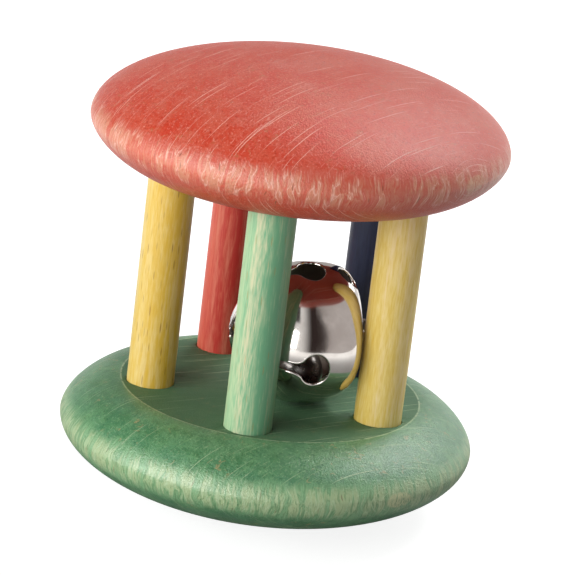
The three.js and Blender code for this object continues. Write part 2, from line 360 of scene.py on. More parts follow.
def carved(blank, cutters):
    """The blank with each cutter taken away."""
    workpiece = new_object("scratch", blank)
    tools = [new_object("scratch", cutter) for cutter in cutters]
    for tool in tools:
        cut = workpiece.modifiers.new("cut", "BOOLEAN")
        cut.operation = "DIFFERENCE"
        cut.solver = "MANIFOLD"
        cut.object = tool
    result = bmesh.new()
    result.from_object(workpiece, bpy.context.evaluated_depsgraph_get())
    for scratch in (workpiece, *tools):
        drop_scratch(scratch)
    bmesh.ops.remove_doubles(result, verts=result.verts, dist=MERGE_DISTANCE)
    return result


def add_bead(form, path, radius):
    """Joins a round bead along a closed path to a form."""
    curve = bpy.data.curves.new("scratch", "CURVE")
    curve.dimensions = "3D"
    curve.bevel_depth = radius
    curve.bevel_resolution = 4
    line = curve.splines.new("POLY")
    line.points.add(len(path) - 1)
    for point, place in zip(line.points, path):
        point.co = (*place, 1.0)
    line.use_cyclic_u = True
    scratch = bpy.data.objects.new("scratch", curve)
    bpy.context.scene.collection.objects.link(scratch)
    evaluated = scratch.evaluated_get(bpy.context.evaluated_depsgraph_get())
    bead = bpy.data.meshes.new_from_object(evaluated)
    form.from_mesh(bead)
    bpy.data.meshes.remove(bead)
    drop_scratch(scratch)


def finish_piece(name, form, materials, body, node):
    """Makes the form an object that rides its body and stands for its node."""
    piece = new_object(name, form, materials)
    piece.data.shade_smooth()
    piece.data.set_sharp_from_angle(angle=SHARP_ANGLE)
    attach(piece, body)
    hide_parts(node)


# Small helpers for node trees


def add(tree, kind, inputs=None, **settings):
    """Adds a node: inputs hold sockets to link or values to set, settings are its properties."""
    node = tree.nodes.new(kind)
    for name, value in settings.items():
        setattr(node, name, value)
    for key, value in (inputs or {}).items():
        if isinstance(value, bpy.types.NodeSocket):
            tree.links.new(value, node.inputs[key])
        else:
            node.inputs[key].default_value = value
    return node


def calc(tree, operation, *values):
    return add(tree, "ShaderNodeMath", dict(enumerate(values)), operation=operation).outputs[0]


def times(tree, first, *others):
    """Product of values."""
    product = first
    for other in others:
        product = calc(tree, "MULTIPLY", product, other)
    return product


def weighed(tree, *pairs):
    """Sum of values, each times its weight."""
    total, *rest = [times(tree, value, weight) for value, weight in pairs]
    for share in rest:
        total = calc(tree, "ADD", total, share)
    return total


def vector_calc(tree, operation, *values):
    return add(tree, "ShaderNodeVectorMath", dict(enumerate(values)), operation=operation).outputs[0]


def split(tree, vector):
    """The X, Y and Z of a vector."""
    return add(tree, "ShaderNodeSeparateXYZ", {0: vector}).outputs


def joined(tree, x=0.0, y=0.0, z=0.0):
    """A vector from its X, Y and Z."""
    return add(tree, "ShaderNodeCombineXYZ", {0: x, 1: y, 2: z}).outputs[0]


def flat_length(tree, vector):
    """Length of a vector in X and Y."""
    flat = vector_calc(tree, "MULTIPLY", vector, FLAT)
    return add(tree, "ShaderNodeVectorMath", {0: flat}, operation="LENGTH").outputs["Value"]


def distance_along(tree, vector, direction):
    """How far a place lies along a direction."""
    inputs = {0: vector, 1: direction}
    return add(tree, "ShaderNodeVectorMath", inputs, operation="DOT_PRODUCT").outputs["Value"]


def ease(tree, value, low, high):
    """Smooth step from 0 at low to 1 at high."""
    inputs = {"Value": value, "From Min": low, "From Max": high}
    return add(tree, "ShaderNodeMapRange", inputs, interpolation_type="SMOOTHSTEP").outputs[0]


def noise(tree, vector, scale, detail=2.0, roughness=0.5):
    inputs = {"Vector": vector, "Scale": scale, "Detail": detail, "Roughness": roughness}
    return add(tree, "ShaderNodeTexNoise", inputs).outputs["Fac"]


def line_at(tree, value, level, width):
    """A thin line where a value is near a level: 1 on it, and 0 from a width away."""
    return ease(tree, calc(tree, "ABSOLUTE", calc(tree, "SUBTRACT", value, level)), width, 0.0)


def swayed(tree, place, scale, reach):
    """A place shifted to and fro by a soft noise, up to half a reach on each axis."""
    inputs = {"Vector": place, "Scale": scale, "Detail": 1.0}
    sway = add(tree, "ShaderNodeTexNoise", inputs).outputs["Color"]
    centred = vector_calc(tree, "SUBTRACT", sway, (0.5, 0.5, 0.5))
    return vector_calc(tree, "ADD", place, vector_calc(tree, "MULTIPLY", centred, reach))


def paint(value):
    """A socket as it is, or a colour with its alpha."""
    return value if isinstance(value, bpy.types.NodeSocket) else (*value[:3], 1.0)


def blend_colour(tree, factor, first, second):
    inputs = {0: factor, 6: paint(first), 7: paint(second)}
    return add(tree, "ShaderNodeMix", inputs, data_type="RGBA").outputs[2]


def coat(tree, base, tint, mask, share):
    """A colour laid over a base by a share of a mask."""
    return blend_colour(tree, times(tree, mask, share), base, tint)


def darker(tint, share):
    return [channel * share for channel in tint]


# Node groups that several materials share

VECTOR = "NodeSocketVector"
NUMBER = "NodeSocketFloat"


def title(words):
    return words.replace("_", " ").capitalize()


def node_group(build):
    """Makes a builder of nodes a group that is built once, with the sockets that its signature names.

    A call then adds the group to a tree and gives its one output, or all of them by name.
    """
    name = title(build.__name__)
    inputs = dict(build.__annotations__)
    outputs = inputs.pop("return")

    def built():
        group = bpy.data.node_groups.new(name, "ShaderNodeTree")
        for in_out, sockets in (("INPUT", inputs), ("OUTPUT", outputs)):
            for key, kind in sockets.items():
                group.interface.new_socket(name=title(key), in_out=in_out, socket_type=kind)
        given = group.nodes.new("NodeGroupInput").outputs
        ends = group.nodes.new("NodeGroupOutput").inputs
        for result, end in zip(build(group, *given[:len(inputs)]), ends):
            group.links.new(result, end)
        return group

    @functools.wraps(build)
    def placed(tree, **values):
        group = bpy.data.node_groups.get(name) or built()
        settings = {title(key): value for key, value in values.items()}
        results = add(tree, "ShaderNodeGroup", settings, node_tree=group).outputs
        return results[0] if len(outputs) == 1 else results

    return placed


@node_group
def board_place(tree, vector: VECTOR, pith_distance: NUMBER) -> {"vector": VECTOR}:
    """Place in the board that a disc was cut from: across the rays, along the rays, along the fibres."""
    parts = split(tree, vector)
    across = times(tree, calc(tree, "ARCTAN2", parts["Y"], parts["X"]), pith_distance)
    along = calc(tree, "SUBTRACT", flat_length(tree, vector), pith_distance)
    return [swayed(tree, joined(tree, across, along, parts["Z"]), 0.07, (0.9, 0.0, 0.0))]


@node_group
def rim_place(tree, vector: VECTOR, radius: NUMBER) -> {"vector": VECTOR}:
    """Place on the rim: every point is moved out to the disc's radius, and the fibres sway a little."""
    outward = vector_calc(tree, "NORMALIZE", vector_calc(tree, "MULTIPLY", vector, FLAT))
    inputs = {0: outward, "Scale": radius}
    on_circle = add(tree, "ShaderNodeVectorMath", inputs, operation="SCALE").outputs["Vector"]
    place = vector_calc(tree, "ADD", on_circle, joined(tree, z=split(tree, vector)["Z"]))
    return [swayed(tree, place, 0.25, (2.0, 2.0, 0.0))]


@node_group
def ray_figure(tree, vector: VECTOR, height: NUMBER, azimuth: NUMBER) -> {"oval": NUMBER, "loops": NUMBER}:
    """The ray that the rim cuts flat: an oval at an azimuth on the rim, and broken loops round it."""
    parts = split(tree, vector)
    swing = calc(tree, "SUBTRACT", calc(tree, "ARCTAN2", parts["Y"], parts["X"]), azimuth)
    tall = calc(tree, "DIVIDE", calc(tree, "SUBTRACT", height, 0.4), 1.3)
    away = flat_length(tree, joined(tree, times(tree, swing, 13.0), tall))
    loop = ease(tree, calc(tree, "PINGPONG", calc(tree, "SUBTRACT", away, 0.3), 0.3), 0.06, 0.0)
    broken = ease(tree, noise(tree, vector, 0.5, 1.0), 0.42, 0.58)
    near = times(tree, ease(tree, away, 1.2, 1.4), ease(tree, away, 3.2, 2.2))
    return [ease(tree, away, 1.15, 0.85), times(tree, loop, broken, near)]


@node_group
def wood_fibre(tree, vector: VECTOR, width: NUMBER, length: NUMBER) -> {"streaks": NUMBER}:
    """Streaks along the fibres, which show as fine dots where the fibres are cut across."""
    stretched = vector_calc(tree, "DIVIDE", vector, joined(tree, width, width, length))
    return [noise(tree, stretched, 1.0, 2.0, 0.55)]


@node_group
def soft_mottle(tree, vector: VECTOR, patch: NUMBER) -> {"value": NUMBER}:
    """Soft cloudy patches, as where the wood drank more or less of the stain."""
    stretched = vector_calc(tree, "DIVIDE", vector, joined(tree, patch, patch, patch))
    return [ease(tree, noise(tree, stretched, 1.0, 4.0, 0.6), 0.3, 0.7)]


@node_group
def tapered_flecks(
    tree, vector: VECTOR, cell: VECTOR, reach: NUMBER, softness: NUMBER, share: NUMBER
) -> {"mask": NUMBER}:
    """Flecks with tapered ends, one in a share of the cells: rays, marks along the grain, or specks."""
    stretched = vector_calc(tree, "DIVIDE", vector, cell)
    cells = add(tree, "ShaderNodeTexVoronoi", {"Vector": stretched, "Scale": 1.0}).outputs
    inner = times(tree, reach, calc(tree, "SUBTRACT", 1.0, softness))
    shape = ease(tree, cells["Distance"], reach, inner)
    chance = add(tree, "ShaderNodeSeparateColor", {0: cells["Color"]}).outputs[0]
    strength = ease(tree, chance, calc(tree, "SUBTRACT", 1.0, share), 1.0)
    return [times(tree, shape, strength)]


@node_group
def scuff_lines(tree, vector: VECTOR) -> {"mask": NUMBER}:
    """Short pieces of thin winding lines in a few places, where the stain is rubbed away."""
    line = line_at(tree, noise(tree, vector, 0.34, 2.0, 0.55), 0.5, 0.03)
    broken = ease(tree, noise(tree, vector, 0.8, 2.0), 0.48, 0.62)
    few = ease(tree, noise(tree, vector, 0.13, 1.0), 0.46, 0.6)
    return [times(tree, line, broken, few)]


@node_group
def worn_edge(tree, vector: VECTOR, distance: NUMBER, width: NUMBER) -> {"mask": NUMBER}:
    """Broken pale line where an edge has been rubbed, by the distance from that edge."""
    broken = ease(tree, noise(tree, vector, 0.9, 3.0, 0.6), 0.3, 0.55)
    return [times(tree, line_at(tree, distance, 0.0, width), broken)]


# Materials


def new_material(name):
    """Material with an empty tree but for its shader: the tree and the shader's node."""
    material = bpy.data.materials.new(name)
    material.use_nodes = True
    return material, material.node_tree, material.node_tree.nodes["Principled BSDF"]


def object_millimetres(tree, turn=0.0, shift=(0.0, 0.0, 0.0)):
    """The piece's own coordinates in millimetres, turned about Z and then shifted."""
    coordinates = add(tree, "ShaderNodeTexCoord").outputs["Object"]
    inputs = {
        "Vector": coordinates,
        "Location": shift,
        "Rotation": (0.0, 0.0, turn),
        "Scale": (PER_METRE, PER_METRE, PER_METRE),
    }
    return add(tree, "ShaderNodeMapping", inputs).outputs[0]


def dress(tree, shader, base, roughness, relief, *, strength, depth):
    """Gives a shader its colour, its roughness and a bump from a relief of a depth in millimetres."""
    bump = add(tree, "ShaderNodeBump", {"Height": relief, "Strength": strength, "Distance": depth * MM})
    for name, socket in (("Base Color", base), ("Roughness", roughness), ("Normal", bump.outputs[0])):
        tree.links.new(socket, shader.inputs[name])


def stain_of(kind, tints, prefix):
    """The shades of one stain, from the colours whose names start with a prefix."""
    return kind(*(getattr(tints, f"{prefix}_{shade}") for shade in kind._fields))


def disc_face(tree, stain, turned, plain, board, grit):
    """Colour of a disc's faces, and the mask of the short pale dashes that run along their rays."""
    patches = soft_mottle(tree, vector=turned, patch=8.0)
    clouds = soft_mottle(tree, vector=turned, patch=1.5)
    tinges = soft_mottle(tree, vector=plain, patch=3.5)
    dashes = tapered_flecks(tree, vector=board, cell=(0.24, 2.2, 3.0), reach=0.36, softness=0.6, share=0.6)
    pores = ease(tree, grit, 0.46, 0.32)
    sparkle = ease(tree, grit, 0.56, 0.72)
    drunk = ease(tree, weighed(tree, (patches, 0.35), (clouds, 0.3), (grit, 0.35)), 0.28, 0.72)
    face = blend_colour(tree, drunk, stain.deep, stain.pale)
    face = coat(tree, face, stain.tinge, tinges, 0.5)
    face = coat(tree, face, stain.ray, dashes, 0.3)
    face = coat(tree, face, darker(stain.deep, SHADE), pores, 0.6)
    face = coat(tree, face, stain.ray, sparkle, 0.4)
    face = coat(tree, face, stain.scuff, scuff_lines(tree, vector=plain), 0.75)
    return face, dashes


def disc_rim(tree, stain, round_rim, height, fine):
    """Colour of a disc's rim, where bare and stained streaks taper off to the faces, and the rim's mask."""
    middling = wood_fibre(tree, vector=round_rim, width=0.5, length=5.0)
    coarse = wood_fibre(tree, vector=round_rim, width=1.7, length=10.0)
    from_middle = calc(tree, "DIVIDE", calc(tree, "SUBTRACT", height, 0.2), 2.9)
    taper = calc(tree, "POWER", calc(tree, "ABSOLUTE", from_middle), 2.0)
    frayed = weighed(tree, (taper, 1.0), (coarse, 1.8), (middling, 0.6), (fine, 0.15))
    streaks = weighed(tree, (coarse, 0.4), (middling, 0.35), (fine, 0.25))
    bare = ease(tree, weighed(tree, (streaks, 1.0), (taper, -0.1)), 0.38, 0.55)
    cells = weighed(tree, (coarse, 0.75), (middling, 0.25))
    lines = tapered_flecks(
        tree, vector=round_rim, cell=(0.6, 0.6, 4.2), reach=0.24, softness=0.6, share=0.7
    )
    side = coat(tree, stain.rim, stain.cream, bare, 0.58)
    side = coat(tree, side, stain.deep, ease(tree, fine, 0.54, 0.64), 0.5)
    side = coat(tree, side, stain.ray, ease(tree, fine, 0.43, 0.32), 0.3)
    side = coat(tree, side, stain.deep, line_at(tree, cells, 0.46, 0.03), 0.5)
    side = coat(tree, side, stain.ray, line_at(tree, cells, 0.54, 0.022), 0.6)
    side = coat(tree, side, darker(stain.scuff, LINE_SHADE), lines, 0.8)
    return side, ease(tree, frayed, 2.9, 1.65)


def stained_disc_material(
    name, stain, *, widest, dome_side, pith_azimuth, pith_distance, figure_azimuth, seed, gloss
):
    """Disc turned across the board: end grain on its faces, side grain round its rim."""
    material, tree, shader = new_material(name)
    shader.inputs["Specular IOR Level"].default_value = gloss
    turn = -math.radians(pith_azimuth) - math.pi
    turned = object_millimetres(tree, turn, (pith_distance, 0.0, seed))
    plain = object_millimetres(tree)
    board = board_place(tree, vector=turned, pith_distance=pith_distance)
    round_rim = rim_place(tree, vector=plain, radius=DISC_RADIUS * PER_METRE)
    grit = noise(tree, board, 2.6, 3.0, 0.7)
    fine = wood_fibre(tree, vector=round_rim, width=0.2, length=2.6)
    over_widest = calc(tree, "SUBTRACT", split(tree, plain)["Z"], widest * PER_METRE)
    height = times(tree, over_widest, dome_side)
    face, dashes = disc_face(tree, stain, turned, plain, board, grit)
    side, on_rim = disc_rim(tree, stain, round_rim, height, fine)
    wood = blend_colour(tree, on_rim, face, side)

    # Inner face: darkened toward the deep stain as painted shade, where it lies in the cage under the other
    # disc
    sizes = bpy.context.scene.rattle_sizes
    from_edge = calc(tree, "SUBTRACT", flat_length(tree, plain), sizes.inner_face_radius * PER_METRE)
    inner_side = calc(tree, "LESS_THAN", height, 0.0)
    inside = times(tree, ease(tree, from_edge, 0.3, -0.3), inner_side)
    wood = coat(tree, wood, darker(stain.deep, SHADE), inside, 0.72)

    # Rays, which fade on the rim, and the one that lies flat in it as an oval with loops round it
    rays = tapered_flecks(
        tree, vector=board, cell=(0.23, 19.0, 24.0), reach=0.32, softness=0.45, share=0.48
    )
    rays = times(tree, rays, calc(tree, "SUBTRACT", 1.0, on_rim))
    figure = ray_figure(tree, vector=round_rim, height=height, azimuth=math.radians(figure_azimuth))
    wood = coat(tree, wood, stain.ray, rays, 0.9)
    wood = coat(tree, wood, stain.cream, figure["Oval"], ease(tree, fine, 0.64, 0.44))
    wood = coat(tree, wood, stain.ray, figure["Loops"], 0.7)

    # Rubbed edge of the inner face
    edge = worn_edge(tree, vector=plain, distance=from_edge, width=0.24)
    wood = coat(tree, wood, stain.ray, times(tree, edge, inner_side), 0.8)

    roughness = weighed(tree, (grit, 0.45), (inside, 0.3), (1.0, 0.15))
    relief = weighed(tree, (grit, 1.0), (fine, 0.3), (dashes, 0.2), (rays, 0.2))
    dress(tree, shader, wood, roughness, relief, strength=0.8, depth=0.14)
    return material


def side_distance(tree, vector, azimuth):
    """How far a place lies to one side, in the direction of an azimuth."""
    swing = math.radians(azimuth)
    return distance_along(tree, vector, (math.cos(swing), math.sin(swing), 0.0))


def stained_dowel_material(name, stain, fleck, shares, axis, seed):
    """Dowel stock: fibres along its length, painted shade to one side, bare streaks, a pale band that is
    partly painted light, and short flecks.
    """
    material, tree, shader = new_material(name)
    local = object_millimetres(tree, 0.0, -axis * PER_METRE)
    grain = vector_calc(tree, "ADD", local, GRAIN_SHIFT * seed)
    fine = wood_fibre(tree, vector=grain, width=0.18, length=2.0)
    middling = wood_fibre(tree, vector=grain, width=0.45, length=4.5)
    coarse = wood_fibre(tree, vector=grain, width=1.3, length=22.0)
    marks = tapered_flecks(tree, vector=grain, cell=(0.5, 0.5, 4.0), reach=0.3, softness=0.55, share=0.9)
    to_shaded_side = side_distance(tree, local, SHADED_SIDE)
    to_pale_band = side_distance(tree, local, PALE_BAND_SIDE)
    # The stain's depth from the fibres, with painted shade added toward the shaded side
    drunk = weighed(tree, (fine, 0.4), (middling, 0.35), (coarse, 0.25), (to_shaded_side, -shares.side))
    strips = weighed(tree, (coarse, 0.55), (middling, 0.25), (fine, 0.2))
    band = weighed(tree, (to_pale_band, 1.0), (middling, 0.6), (coarse, 0.4), (fine, 0.5))
    wood = blend_colour(tree, ease(tree, drunk, 0.28, 0.72), stain.deep, stain.pale)
    wood = coat(tree, wood, stain.bare, ease(tree, strips, 0.44, 0.7), shares.bare)
    # Pale band on the lit side of the dowel: partly bare wood and partly a painted highlight
    wood = coat(tree, wood, stain.bare, ease(tree, band, 4.5, 4.95), shares.band)
    wood = coat(tree, wood, fleck, marks, shares.flecks)
    roughness = weighed(tree, (fine, 0.2), (1.0, 0.36))
    relief = weighed(tree, (fine, 1.0), (marks, -0.6))
    dress(tree, shader, wood, roughness, relief, strength=0.4, depth=0.06)
    return material


def metal_material(name, tint, dull, *, smooth, rough, peel):
    """Plated or bare metal with smudges, a fine orange peel and a few dark specks."""
    material, tree, shader = new_material(name)
    shader.inputs["Metallic"].default_value = 1.0
    surface = object_millimetres(tree)
    smudges = soft_mottle(tree, vector=surface, patch=4.0)
    specks = tapered_flecks(tree, vector=surface, cell=(4.5, 4.5, 4.5), reach=0.07, softness=0.4, share=0.8)
    worn = coat(tree, tint, dull, smudges, 0.25)
    base = blend_colour(tree, specks, worn, SPECK)
    roughness = weighed(tree, (smudges, rough - smooth), (1.0, smooth))
    skin = weighed(tree, (noise(tree, surface, 0.35, 1.0), 1.0), (noise(tree, surface, 5.0), peel))
    dress(tree, shader, base, roughness, skin, strength=0.2, depth=0.05)
    return material


# Discs


def dome_rise(sizes, radius):
    share = (radius / DISC_RADIUS) ** sizes.dome_fullness
    return sizes.dome_height * (1 - share) ** (1 / sizes.dome_fullness)


def disc_outline(sizes):
    """From the middle of the standing face, out over the rim, to the middle of the inner face."""
    widest = dome_rise(sizes, sizes.stand_radius)
    start = math.acos((sizes.stand_radius / DISC_RADIUS) ** (sizes.dome_fullness / 2))
    outline = [(0.0, 0.0)]
    for step in range(DOME_STEPS):
        turn = start * (1 - step / DOME_STEPS)
        radius = DISC_RADIUS * math.cos(turn) ** (2 / sizes.dome_fullness)
        drop = sizes.dome_height * math.sin(turn) ** (2 / sizes.dome_fullness)
        outline.append((radius, widest - drop))
    rim_width = DISC_RADIUS - sizes.inner_face_radius
    rim = quarter_outline(rim_width, sizes.rim_height, sizes.rim_fullness, RIM_STEPS)
    outline += [(sizes.inner_face_radius + x, widest + z) for x, z in rim]
    outline.append((0.0, widest + sizes.rim_height))
    return outline


def dowel_axis(node):
    low, high = DOWEL_BOXES[node]
    return Vector(((low.x + high.x) / 2, (low.y + high.y) / 2, 0.0))


def dowel_radius(node):
    low, high = DOWEL_BOXES[node]
    return (high.x - low.x) / 2


def socket_cutter(sizes, node, face, depth_sign):
    """Blind hole for one dowel, from its bottom to a little past the inner face."""
    middle = face + depth_sign * (sizes.socket_depth - OVERRUN) / 2
    place = Matrix.Translation(dowel_axis(node) + Vector((0, 0, middle)))
    return rod(dowel_radius(node) + sizes.socket_gap, sizes.socket_depth + OVERRUN, place)


def ease_socket_mouths(form, sizes, face):
    """Rounds the mouth of each dowel's hole."""
    def from_hole(flat, node):
        return abs((flat - dowel_axis(node)).length - dowel_radius(node) - sizes.socket_gap)

    def on_mouth(vert):
        if abs(vert.co.z - face) > MERGE_DISTANCE:
            return False
        flat = Vector((vert.co.x, vert.co.y, 0.0))
        return any(from_hole(flat, node) < MERGE_DISTANCE for node in DOWEL_BOXES)

    mouths = [edge for edge in form.edges if all(on_mouth(vert) for vert in edge.verts)]
    soften(form, mouths, sizes.socket_ease)


class RATTLE_OT_discs(bpy.types.Operator):
    """Turn the two stained discs, with a blind hole for each dowel"""

    bl_idname = "rattle.discs"
    bl_label = "Discs"

    def execute(self, context):
        sizes, tints = context.scene.rattle_sizes, context.scene.rattle_colours
        green = stained_disc_material(
            "green stained beech",
            stain_of(DiscStain, tints, "green"),
            widest=LOWER_FACE - sizes.rim_height,
            dome_side=-1,
            pith_azimuth=41.0,
            pith_distance=320.0,
            figure_azimuth=-40.0,
            seed=0.0,
            gloss=0.85,
        )
        red = stained_disc_material(
            "red stained beech",
            stain_of(DiscStain, tints, "red"),
            widest=UPPER_FACE + sizes.rim_height,
            dome_side=1,
            pith_azimuth=241.0,
            pith_distance=700.0,
            figure_azimuth=-26.0,
            seed=40.0,
            gloss=0.5,
        )
        self.disc(sizes, "green_disc", "lower_disc", green, LOWER_FACE, False)
        self.disc(sizes, "red_disc", "upper_disc", red, UPPER_FACE, True)
        return {"FINISHED"}

    def disc(self, sizes, name, node, material, face, is_upper):
        blank = spun(disc_outline(sizes), DISC_STEPS)
        if is_upper:
            move(blank, Matrix.Translation((0, 0, OVERALL_HEIGHT)) @ Matrix.Rotation(math.pi, 4, "X"))
        cutters = [socket_cutter(sizes, dowel, face, 1 if is_upper else -1) for dowel in DOWEL_BOXES]
        form = carved(blank, cutters)
        ease_socket_mouths(form, sizes, face)
        finish_piece(name, form, [material], "cage", node)


# Dowels


class RATTLE_OT_dowels(bpy.types.Operator):
    """Cut the five stained dowels of the cage"""

    bl_idname = "rattle.dowels"
    bl_label = "Dowels"

    def execute(self, context):
        sizes, tints = context.scene.rattle_sizes, context.scene.rattle_colours
        for seed, node in enumerate(DOWEL_BOXES):
            tint, shares = DOWEL_FINISHES[node]
            stain = stain_of(DowelStain, tints, f"{tint}_dowel")
            axis = dowel_axis(node)
            material = stained_dowel_material(f"{node} stain", stain, tints.fleck, shares, axis, seed)
            finish_piece(f"stained_{node}", self.dowel(sizes, node), [material], "cage", node)
        return {"FINISHED"}

    def dowel(self, sizes, node):
        low, high = DOWEL_BOXES[node]
        radius = dowel_radius(node)
        chamfer = sizes.dowel_chamfer
        outline = [
            (0.0, low.z),
            (radius - chamfer, low.z),
            (radius, low.z + chamfer),
            (radius, high.z - chamfer),
            (radius - chamfer, high.z),
            (0.0, high.z),
        ]
        form = spun(outline, DOWEL_STEPS)
        move(form, Matrix.Translation(dowel_axis(node)))
        return form


# Bell, modelled upright on its own axis with its closed end on top, and then laid on its side


def bell_place(sizes):
    """From the upright bell to where it lies in the cage, with its roll."""
    along = Vector(ROLL_JOINT["axis"])
    down = Vector((0, 0, -1))
    turn = Matrix((down, along.cross(down), along)).transposed().to_4x4()
    return Matrix.Translation(ROLL_JOINT["pos_m"]) @ turn @ Matrix.Rotation(sizes.bell_roll, 4, "Z")


def bell_outline(sizes, inset):
    across = sizes.bell_radius - inset
    down, up = sizes.bell_open_length - inset, sizes.bell_closed_length - inset
    petals = quarter_outline(across, down, sizes.bell_open_fullness, BELL_ROWS)
    closed = quarter_outline(across, up, sizes.bell_closed_fullness, BELL_ROWS)
    return [(x, -z) for x, z in reversed(petals)] + closed[1:]


def section_radius(sizes, x, y):
    """Radius of the bell, in the middle of a petal, whose rounded square goes through a point."""
    fullness = sizes.bell_section_fullness
    across, along = abs(x + y) / math.sqrt(2), abs(x - y) / math.sqrt(2)
    return (across**fullness + along**fullness) ** (1 / fullness)


def bell_body(sizes, inset):
    """The bell's outer surface, or an inner one, filled."""
    form = spun(bell_outline(sizes, inset), BELL_STEPS)
    for vert in form.verts:
        flat = math.hypot(vert.co.x, vert.co.y)
        if flat > MERGE_DISTANCE:
            factor = flat / section_radius(sizes, vert.co.x, vert.co.y)
            vert.co.x *= factor
            vert.co.y *= factor
    return form


def bell_fill(sizes, inset, place):
    """Under 1 inside the bell's surface at an inset, 1 on it."""
    is_closed = place.z > 0
    along = (sizes.bell_closed_length if is_closed else sizes.bell_open_length) - inset
    fullness = sizes.bell_closed_fullness if is_closed else sizes.bell_open_fullness
    radius = section_radius(sizes, place.x, place.y)
    return (radius / (sizes.bell_radius - inset)) ** fullness + (abs(place.z) / along) ** fullness


def surface_crossing(sizes, inset, start, direction):
    """Where a line that starts inside the bell comes out of its surface at an inset."""
    near, far = 0.0, 2 * sizes.bell_radius
    for _ in range(HALVINGS):
        half = (near + far) / 2
        is_inside = bell_fill(sizes, inset, start + direction * half) < 1
        near, far = (half, far) if is_inside else (near, half)
    return start + direction * near


def slot_half_outline(sizes, tip_steps):
    """One side of a slot and its hole, from past the petals' tips to the top of the hole."""
    half_neck, mouth_turn = sizes.slot_neck_width / 2, -sizes.slot_mouth_angle
    half_width, half_length = sizes.slot_hole_width / 2, sizes.slot_hole_length / 2

    def on_hole(turn):
        height = sizes.slot_hole_place + half_length * math.sin(turn)
        return Vector((half_width * math.cos(turn), height))

    mouth = on_hole(mouth_turn)
    neck = Vector((half_neck, sizes.slot_neck_place))
    flare = Vector((half_neck, mouth.y - mouth.x + half_neck))
    tip = Vector((sizes.slot_tip_width / 2, -sizes.bell_open_length - OVERRUN))
    points = [tip.lerp(neck, step / tip_steps) for step in range(tip_steps)]
    for step in range(BEND_STEPS):
        share = step / BEND_STEPS
        points.append(neck.lerp(flare, share).lerp(flare.lerp(mouth, share), share))
    for step in range(2 * BEND_STEPS + 1):
        share = step / (2 * BEND_STEPS)
        points.append(on_hole(mouth_turn + (math.pi / 2 - mouth_turn) * share))
    return points


def slot_cutter(sizes):
    """Keyhole of one slot, run through the bell along Y."""
    half = slot_half_outline(sizes, 1)
    outline = half + [(-x, z) for x, z in reversed(half[:-1])]
    return extruded(outline, 3 * sizes.bell_radius)


def petal_edge(sizes):
    """The one closed edge that runs round all four slots and their holes, in the middle of the sheet."""
    path = []
    middle = sizes.bell_sheet / 2
    side = []
    for width, height in slot_half_outline(sizes, TIP_STEPS):
        corner = Vector((width, width, height))
        if bell_fill(sizes, middle, corner) < 1:
            side.append(surface_crossing(sizes, middle, corner, Vector((1, 0, 0))))
    for quarter in range(4):
        turn = Matrix.Rotation(quarter * math.pi / 2, 3, "Z")
        path += [turn @ Vector((place.x, -place.y, place.z)) for place in side]
        path += [turn @ place for place in reversed(side[:-1])]
    return path


def shoulder_hole_frame(sizes, side):
    """Middle of a shoulder hole on the bell's surface, and the way that its drill points."""
    low = sizes.slot_hole_place + sizes.slot_hole_length / 2 + sizes.shoulder_hole_land
    lean = sizes.shoulder_hole_lean
    edge = surface_crossing(sizes, 0.0, Vector((0, 0, low)), Vector((1, 0, 0)))
    radius = edge.x - sizes.shoulder_hole_radius * math.sin(lean)
    middle = Vector((side * radius, 0.0, low + sizes.shoulder_hole_radius * math.cos(lean)))
    return middle, Vector((side * math.cos(lean), 0.0, math.sin(lean)))


def shoulder_hole_cutter(sizes, side):
    middle, outward = shoulder_hole_frame(sizes, side)
    depth = sizes.bell_radius
    turn = outward.to_track_quat("Z", "Y").to_matrix().to_4x4()
    place = Matrix.Translation(middle + outward * (OVERRUN - depth / 2)) @ turn
    return rod(sizes.shoulder_hole_radius, depth, place)


def shoulder_hole_edge(sizes, side):
    """Closed edge of a shoulder hole, in the middle of the sheet."""
    middle, outward = shoulder_hole_frame(sizes, side)
    turn = outward.to_track_quat("Z", "Y").to_matrix()
    path = []
    for step in range(4 * BEND_STEPS):
        swing = 2 * math.pi * step / (4 * BEND_STEPS)
        ring = turn @ Vector((math.cos(swing), math.sin(swing), 0.0)) * sizes.shoulder_hole_radius
        start = middle + ring - outward * sizes.bell_radius / 2
        path.append(surface_crossing(sizes, sizes.bell_sheet / 2, start, outward))
    return path


def mark_inside(form, sizes):
    """Gives the faces of the inner surface the second material."""
    for face in form.faces:
        fill = bell_fill(sizes, INSIDE_SHARE * sizes.bell_sheet, face.calc_center_median())
        face.material_index = 1 if fill < 1 else 0


def closed_end_height(sizes, radius):
    """Height of the bell's inner surface over its middle, in the closed end."""
    fullness = sizes.bell_closed_fullness
    share = (radius / (sizes.bell_radius - sizes.bell_sheet)) ** fullness
    return (sizes.bell_closed_length - sizes.bell_sheet) * (1 - share) ** (1 / fullness)


def eyelet_outline(sizes):
    """Side view of the strap: a loop whose ends go through the closed end and turn out inside."""
    bore = sizes.eyelet_bore
    outer = bore + sizes.eyelet_sheet
    foot = outer + sizes.eyelet_foot
    top = closed_end_height(sizes, math.hypot(foot, sizes.eyelet_width / 2)) - sizes.eyelet_gap
    bottom = top - sizes.eyelet_sheet
    bend = sizes.bell_closed_length + sizes.eyelet_stand
    arc = [math.pi * step / (2 * BEND_STEPS) for step in range(2 * BEND_STEPS + 1)]
    outline = [(foot, bottom), (foot, top), (outer, top)]
    outline += [(outer * math.cos(turn), bend + outer * math.sin(turn)) for turn in arc]
    outline += [(-outer, top), (-foot, top), (-foot, bottom), (-bore, bottom)]
    outline += [(bore * math.cos(turn), bend + bore * math.sin(turn)) for turn in reversed(arc)]
    return outline + [(bore, bottom)]


